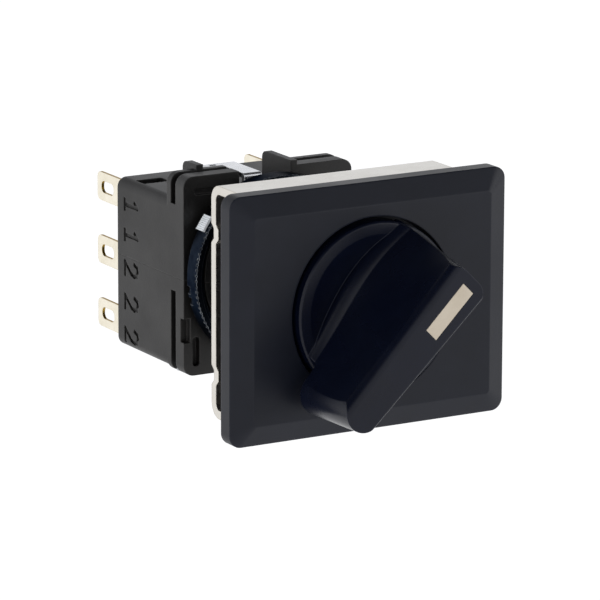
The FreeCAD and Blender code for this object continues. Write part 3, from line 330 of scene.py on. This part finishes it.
@dataclass(frozen=True)
class StampedTab(PlatedMetal):
    """Tin-plated brass strip: dull cream faces, and raw yellow brass where the press sheared the edges."""

    shear: str = "#A98A3C"
    face_axis: Axis = Axis.X

    def surface_colour(self, tree: bpy.types.NodeTree, coords: bpy.types.NodeSocket) -> bpy.types.NodeSocket:
        """Tin on the faces and bare brass on the sheared edges.

        Args:
            tree: Node tree to add to.
            coords: Object coordinates.

        Returns:
            Colour socket.
        """
        plate = super().surface_colour(tree, coords)
        normal = put(tree, "TexCoord").outputs["Normal"]
        facing = put(tree, "SeparateXYZ", None, Vector=normal).outputs[self.face_axis.value]
        size = put(tree, "Math", {"operation": "ABSOLUTE"}, _0=facing).outputs[0]
        side = put(tree, "MapRange", None, Value=size, From_Min=FACE_ENDS, From_Max=SHEAR_FULL).outputs[0]
        sheared = put(tree, "Mix", {"data_type": "RGBA"}, _0=side, _6=plate, _7=linear(self.shear))
        return sheared.outputs[2]


# Glass-filled nylon off a spark-eroded tool: near black with a faint blue cast and a satin sheen.
# Its lighter edge colour paints a highlight along the rounded edges.
BEZEL_NYLON = MouldedPlastic(
    "spark-eroded black nylon", "#080C18", "#0C101C", "#262A38", 0.42, 0.05, 0.22, 0.010, 5.0, 0.35, 0.4,
    specular=0.25,
)
# The same nylon off a finer tool: blacker and a little glossier, so its hollow flanks go very dark.
# Its lighter edge colour paints a highlight along the rounded edges.
KNOB_NYLON = MouldedPlastic(
    "satin black nylon", "#050918", "#070C1C", "#1C2030", 0.27, 0.04, 0.16, 0.003, 4.0, 0.25, 0.4,
    specular=0.24,
)
# Compression-moulded phenolic: warm black with a coarse dry grain that greys it at a glance.
# Its lighter edge colour paints a highlight along the rounded edges.
PHENOLIC = MouldedPlastic(
    "black phenolic", "#0B0A0A", "#11100F", "#3A3835", 0.47, 0.06, 0.3, 0.02, 3.0, 0.25, 0.4, specular=0.4
)
# Warm grey plastic let into the grip: flat and chalky against the satin black.
INLAY_ABS = MouldedPlastic(
    "warm grey ABS inlay", "#C6BBA9", "#BDB19E", "#D6CCBB", 0.5, 0.05, 0.25, 0.006, 2.5, 0.1, 0.2
)
# Pale acetal pad: slightly waxy and cool white.
PAD_ACETAL = MouldedPlastic(
    "pale grey acetal", "#F0F4F8", "#E8EDF2", "#FAFBFC", 0.4, 0.05, 0.2, 0.006, 1.5, 0.12, 0.4
)
# Natural acetal inside the block: ivory and waxy.
IVORY_ACETAL = MouldedPlastic(
    "natural acetal", "#D9D3C3", "#CDC6B4", "#E8E3D4", 0.36, 0.06, 0.25, 0.005, 3.0, 0.15, 0.3
)
# Nitrile rubber: dull, slightly dusty black.
NITRILE = MouldedPlastic(
    "nitrile rubber", "#0E0E0E", "#151514", "#222221", 0.8, 0.08, 0.3, 0.015, 2.0, 0.2, 0.3, specular=0.3
)
# Nickel over rolled steel: bright, slightly warm, with soft rolling lines and yellower worn edges.
NICKEL_STEEL = PlatedMetal(
    "nickel-plated rolled steel", "#DCD9D2", "#D2CEC6", "#BFB7A4", 0.3, 0.04, 0.3, 0.0016, 6.0, 0.22, 0.5,
    (6.0, 1.0, 1.0),
)
# The same plate on a narrow bright strip.
NICKEL_STRIP = PlatedMetal(
    "bright nickel strip", "#E0E1E3", "#D3D5D8", "#F4F4F4", 0.28, 0.05, 0.2, 0.002, 3.0, 0.15, 0.4,
    (1.0, 6.0, 1.0),
)
# Blue passivated zinc: very dark slate blue with bright edges painted on as highlights and a sparse speckle
# of bare zinc.
BLUE_ZINC = PlatedMetal(
    "blue passivated zinc", "#282E38", "#1D222B", "#D5DADF", 0.32, 0.05, 0.16, 0.003, 1.6, 0.07, 0.6,
    (1.0, 1.0, 1.0), 1.0, 0.05, 0.4,
)
# Tin over half-hard brass strip, with the sheared edges left yellow.
TINNED_BRASS = StampedTab(
    "tinned brass strip", "#F0EADA", "#E6DFCC", "#C9B06A", 0.4, 0.06, 0.22, 0.002, 2.2, 0.12, 0.5,
    (1.0, 6.0, 1.0),
)
# Bridges lie flat across the shaft, so their faces look along Y.
BRIDGE_BRASS = StampedTab(
    "tinned brass bridge", "#D9D2BF", "#CDC5AF", "#B8A05F", 0.36, 0.06, 0.22, 0.002, 2.2, 0.1, 0.4,
    (1.0, 1.0, 6.0), face_axis=Axis.Y,
)
# Silver alloy contact: soft white metal, faintly tarnished.
SILVER = PlatedMetal(
    "silver contact alloy", "#E2DED5", "#D0C9BB", "#F4F2EC", 0.28, 0.06, 0.1, 0.002, 0.8, 0.08, 0.4
)
# Free-cutting steel with turning lines round the shaft.
TURNED_STEEL = PlatedMetal(
    "turned zinc-plated steel", "#AEB1B5", "#9DA0A4", "#CDCFD2", 0.3, 0.05, 0.12, 0.003, 3.0, 0.12, 0.5,
    (6.0, 1.0, 6.0),
)
# Hard drawn spring steel, oiled grey.
SPRING_STEEL = PlatedMetal(
    "drawn spring steel", "#8E9094", "#7C7E82", "#BFC1C4", 0.32, 0.08, 0.1, 0.002, 1.5, 0.08, 0.4
)


def dress(node: str, finish: Finish) -> None:
    """Give a CAD node its finish.

    Args:
        node: Name of the CAD node.
        finish: Finish for all of its slots.
    """
    mesh = bpy.data.objects[node].data
    made = finish.material()
    if not mesh.materials:
        mesh.materials.append(made)
    for i in range(len(mesh.materials)):
        mesh.materials[i] = made
    LOG.info("%s: %s", node, finish.name)


# ------------------------------------------------------------------ sub-assemblies
@dataclass
class PanelFront:
    """Bezel with its threaded barrel, gasket and shaft seal."""

    thread_pitch_mm: float = 1.0
    thread_height_mm: float = 0.28
    barrel_radius_mm: float = 11.5
    clear_mm: float = 0.25
    nut_run_mm: float = 2.6
    sink_mm: float = 0.05
    run_out: float = 0.02
    foot_half: float = 0.42
    crest_half: float = 0.1
    steps: int = 72

    def thread(self, name: str, y0: float, y1: float) -> bpy.types.Object:
        """Build a run of rolled thread on the barrel.

        Args:
            name: Name of the piece.
            y0: Front end in metres.
            y1: Rear end in metres.

        Returns:
            The helical ridge.
        """
        mesh = bmesh.new()
        pitch = self.thread_pitch_mm * MM
        turns = (y1 - y0) / pitch - 1
        total = int(self.steps * turns)
        root = self.barrel_radius_mm * MM
        foot = root - self.sink_mm * MM
        rows = []
        for i in range(total + 1):
            angle = 2 * math.pi * i / self.steps
            lead = min(1.0, i / (self.steps / 2), (total - i) / (self.steps / 2))
            crest = root + self.thread_height_mm * MM * max(lead, self.run_out)
            y = y0 + pitch * (0.5 + i / self.steps)
            profile = (
                (foot, -self.foot_half),
                (crest, -self.crest_half),
                (crest, self.crest_half),
                (foot, self.foot_half),
            )
            rows.append([
                mesh.verts.new((r * math.cos(angle), y + s * pitch, r * math.sin(angle))) for r, s in profile
            ])
        for a, b in zip(rows, rows[1:]):
            for k in range(len(a)):
                j = (k + 1) % len(a)
                mesh.faces.new((a[k], a[j], b[j], b[k]))
        mesh.faces.new(rows[0])
        mesh.faces.new(rows[-1][::-1])
        bmesh.ops.recalc_face_normals(mesh, faces=mesh.faces)
        data = bpy.data.meshes.new(name)
        mesh.to_mesh(data)
        mesh.free()
        piece = bpy.data.objects.new(name, data)
        bpy.context.scene.collection.objects.link(piece)
        piece.data.materials.append(BEZEL_NYLON.material())
        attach(piece, Body.SWITCH.value)
        return piece

    def build(self) -> None:
        """Cut the thread runs between the fixed pieces on the barrel."""
        gap = self.clear_mm * MM
        web_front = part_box("mounting_bracket")[0].y
        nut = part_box("bracket_nut")
        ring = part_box("locking_ring")
        self.thread("barrel_thread_rear", nut[1].y + gap, ring[0].y - gap)
        self.thread("barrel_thread_front", web_front + gap, nut[0].y - self.nut_run_mm * MM)
        LOG.info("barrel threads cut")

    def dress(self) -> None:
        """Give the panel side its finishes."""
        dress("front_bezel", BEZEL_NYLON)
        dress("panel_gasket", NITRILE)
        dress("shaft_seal", NITRILE)


@dataclass
class Knob:
    """Pointer knob with its inlay."""

    def dress(self) -> None:
        """Give the knob and inlay their finishes."""
        dress("knob", KNOB_NYLON)
        dress("marker_inlay", INLAY_ABS)


@dataclass
class Clamp:
    """Mounting bracket and ring nut."""

    def dress(self) -> None:
        """Give the clamping parts their plate."""
        dress("mounting_bracket", NICKEL_STEEL)
        dress("bracket_nut", TURNED_STEEL)


@dataclass
class LockRing:
    """Bayonet locking ring with its pad and lever."""

    def dress(self) -> None:
        """Give the ring parts their finishes."""
        dress("locking_ring", BLUE_ZINC)
        dress("thumb_pad", PAD_ACETAL)
        dress("locking_lever", NICKEL_STRIP)


@dataclass
class ContactBlock:
    """Housing halves, terminals and everything the block holds."""

    housings: tuple[str, ...] = ("upper_housing", "lower_housing")
    sides: tuple[str, ...] = ("left", "right")
    rows: tuple[str, ...] = ("upper", "middle", "lower")

    def dress(self) -> None:
        """Give the block its finishes."""
        for node in self.housings:
            dress(node, PHENOLIC)
        for side in self.sides:
            for row in self.rows:
                dress(f"terminal_{side}_{row}", TINNED_BRASS)
            dress(f"bridge_{side}", BRIDGE_BRASS)
            dress(f"contact_spring_{side}", SPRING_STEEL)
        dress("fixed_contacts", SILVER)
        dress("terminal_base", PHENOLIC)
        dress("housing_screws", TURNED_STEEL)


@dataclass
class Drive:
    """Spindle, index and contact carrier."""

    steel: tuple[str, ...] = ("spindle", "thrust_washer")
    spring: tuple[str, ...] = ("retaining_clip", "detent_springs")
    acetal: tuple[str, ...] = ("index_wheel", "block_shaft", "contact_carrier")

    def dress(self) -> None:
        """Give the drive parts their finishes."""
        groups = ((self.steel, TURNED_STEEL), (self.spring, SPRING_STEEL), (self.acetal, IVORY_ACETAL))
        for names, finish in groups:
            for node in names:
                dress(node, finish)


# ------------------------------------------------------------------ stage
@dataclass
class Studio:
    """Pale floor, bright surround, soft boxes and the camera."""

    azimuth_deg: float = -29.97
    elevation_deg: float = 13.68
    roll_deg: float = -0.18
    distance_mm: float = 752.3
    aim_mm: tuple[float, float, float] = (-9.23, 2.775, 0.896)
    lens_mm: float = 287.3
    sensor_mm: float = 36.0
    floor_drop_mm: float = 35.0
    floor_half_m: float = 8.0
    bright_below: float = 0.42
    dark_above: float = 0.66
    bright_level: float = 1.05
    dark_level: float = 0.05
    boxes: tuple[tuple[str, tuple[float, float, float], float, float], ...] = field(
        default=(
            ("left_box", (-0.62, 0.10, 0.16), 0.50, 1.0),
            ("front_box", (0.58, -0.50, 0.02), 0.50, 1.3),
        )
    )

    def camera(self) -> None:
        """Set the camera at the viewing angle."""
        a, e, roll = (math.radians(v) for v in (self.azimuth_deg, self.elevation_deg, self.roll_deg))
        back = Vector((math.sin(a) * math.cos(e), -math.cos(a) * math.cos(e), math.sin(e)))
        right = Vector((math.cos(a), math.sin(a), 0))
        up = back.cross(right)
        side = math.cos(roll) * right - math.sin(roll) * up
        top = math.sin(roll) * right + math.cos(roll) * up
        data = bpy.data.cameras.new("camera")
        data.lens = self.lens_mm
        data.sensor_width = self.sensor_mm
        data.clip_start, data.clip_end = 0.05, 50.0
        made = bpy.data.objects.new("camera", data)
        bpy.context.scene.collection.objects.link(made)
        place = Vector(self.aim_mm) * MM + back * self.distance_mm * MM
        turn = Matrix((side, top, back)).transposed()
        made.matrix_world = Matrix.Translation(place) @ turn.to_4x4()
        bpy.context.scene.camera = made

    def floor(self) -> None:
        """Lay the pale floor under the object."""
        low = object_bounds()[0].z - self.floor_drop_mm * MM
        mesh = bpy.data.meshes.new("floor")
        half = self.floor_half_m
        corners = [(-half, -half, low), (half, -half, low), (half, half, low), (-half, half, low)]
        mesh.from_pydata(corners, [], [(0, 1, 2, 3)])
        made = bpy.data.objects.new("floor", mesh)
        bpy.context.scene.collection.objects.link(made)
        paint = bpy.data.materials.new("pale matt paint")
        paint.use_nodes = True
        shader = paint.node_tree.nodes["Principled BSDF"]
        shader.inputs["Base Color"].default_value = linear("#808080")
        shader.inputs["Roughness"].default_value = 0.9
        shader.inputs["Specular IOR Level"].default_value = 0.0
        shader.inputs["Emission Color"].default_value = linear("#FBFBFC")
        shader.inputs["Emission Strength"].default_value = 1.0
        mesh.materials.append(paint)
        made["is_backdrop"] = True

    def surround(self) -> None:
        """Light the scene from a white surround that darkens overhead."""
        world = bpy.data.worlds.new("surround")
        bpy.context.scene.world = world
        world.use_nodes = True
        tree = world.node_tree
        tree.nodes.clear()
        up = put(tree, "SeparateXYZ", None, Vector=put(tree, "TexCoord").outputs["Generated"]).outputs[2]
        level = put(
            tree, "MapRange", None, Value=up, From_Min=self.bright_below, From_Max=self.dark_above,
            To_Min=self.bright_level, To_Max=self.dark_level,
        )
        light = put(tree, "Background", None, Color=linear("#FBFCFF"), Strength=level.outputs[0])
        put(tree, "OutputWorld", Surface=light.outputs[0])

    def lights(self) -> None:
        """Hang the soft boxes, each aimed at the object's middle."""
        lo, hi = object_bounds()
        middle = (lo + hi) / 2
        for name, place, width, power in self.boxes:
            data = bpy.data.lights.new(name, "AREA")
            data.shape = "SQUARE"
            data.size = width
            data.energy = power
            made = bpy.data.objects.new(name, data)
            bpy.context.scene.collection.objects.link(made)
            made.location = Vector(place)
            made.rotation_mode = "QUATERNION"
            made.rotation_quaternion = (middle - Vector(place)).to_track_quat("-Z", "Y")

    def build(self) -> None:
        """Set the whole stage."""
        bpy.context.scene.view_settings.view_transform = "Standard"
        self.floor()
        self.surround()
        self.lights()
        self.camera()


def main() -> None:
    """Build and dress the switch on its CAD frame and set the stage."""
    logging.basicConfig(level=logging.INFO, format="%(message)s")
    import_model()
    front = PanelFront()
    front.build()
    for part in (front, Knob(), Clamp(), LockRing(), ContactBlock(), Drive()):
        part.dress()
    Studio().build()


if __name__ == "__main__":
    main()
